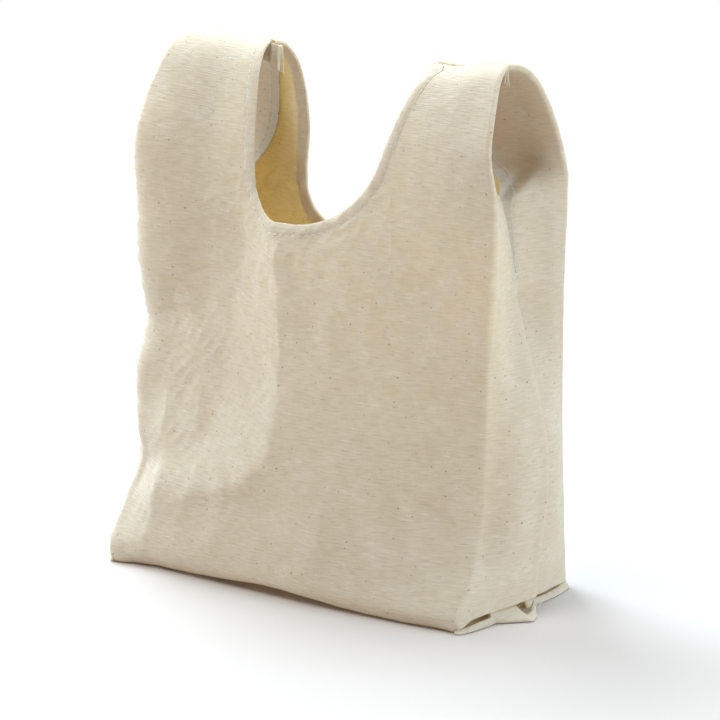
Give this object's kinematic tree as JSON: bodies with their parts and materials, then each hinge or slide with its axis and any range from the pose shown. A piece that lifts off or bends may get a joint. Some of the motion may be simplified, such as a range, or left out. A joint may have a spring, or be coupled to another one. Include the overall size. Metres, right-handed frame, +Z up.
{
  "type": "shopping bag",
  "caption": "Standing cotton canvas shopping bag with folded side gussets, a flat base and two wide arched handles cut in one with the body.",
  "frame": {"origin": "under the middle of the base, on the surface the bag stands on", "axes": "+X to the right seen from the front, +Y to the back, +Z up; the front faces -Y"},
  "size_m": [0.3164, 0.1435, 0.3309],
  "materials": {
    "canvas": "unbleached plain-weave cotton canvas, matt, with seed flecks and slubs",
    "thread": "twisted cotton sewing thread, natural colour"
  },
  "bodies": {
    "body": {"front_panel": "canvas", "back_panel": "canvas", "front_base_half": "canvas", "back_base_half": "canvas", "front_neck_hem": "canvas", "back_neck_hem": "canvas", "base_seam_allowance": "canvas", "left_gusset_tuck": "canvas", "right_gusset_tuck": "canvas", "left_side_seam_allowance": "canvas", "right_side_seam_allowance": "canvas", "front_neck_stitching": "thread", "back_neck_stitching": "thread", "base_seam_thread": "thread", "left_side_seam_thread": "thread", "right_side_seam_thread": "thread", "left_bar_tack": "thread", "right_bar_tack": "thread"},
    "left_handle": {"left_front_strap": "canvas", "left_back_strap": "canvas", "left_front_strap_neck_hem": "canvas", "left_back_strap_neck_hem": "canvas", "left_front_strap_side_hem": "canvas", "left_back_strap_side_hem": "canvas", "left_top_seam_allowance": "canvas", "left_front_strap_neck_stitching": "thread", "left_back_strap_neck_stitching": "thread", "left_front_strap_side_stitching": "thread", "left_back_strap_side_stitching": "thread", "left_top_seam_thread": "thread"},
    "right_handle": {"right_front_strap": "canvas", "right_back_strap": "canvas", "right_front_strap_neck_hem": "canvas", "right_back_strap_neck_hem": "canvas", "right_front_strap_side_hem": "canvas", "right_back_strap_side_hem": "canvas", "right_top_seam_allowance": "canvas", "right_front_strap_neck_stitching": "thread", "right_back_strap_neck_stitching": "thread", "right_front_strap_side_stitching": "thread", "right_back_strap_side_stitching": "thread", "right_top_seam_thread": "thread"}
  },
  "joints": [
    {"name": "left_handle_lean", "type": "hinge", "parent": "body", "child": "left_handle", "pos_m": [-0.0924, 0.0125, 0.246], "axis": [0, 1, 0], "range_deg": [-12, 30], "stiffness_Nm_per_rad": 0.05},
    {"name": "right_handle_lean", "type": "hinge", "parent": "body", "child": "right_handle", "pos_m": [0.0924, 0.0125, 0.246], "axis": [0, -1, 0], "range_deg": [-12, 30], "stiffness_Nm_per_rad": 0.05}
  ]
}
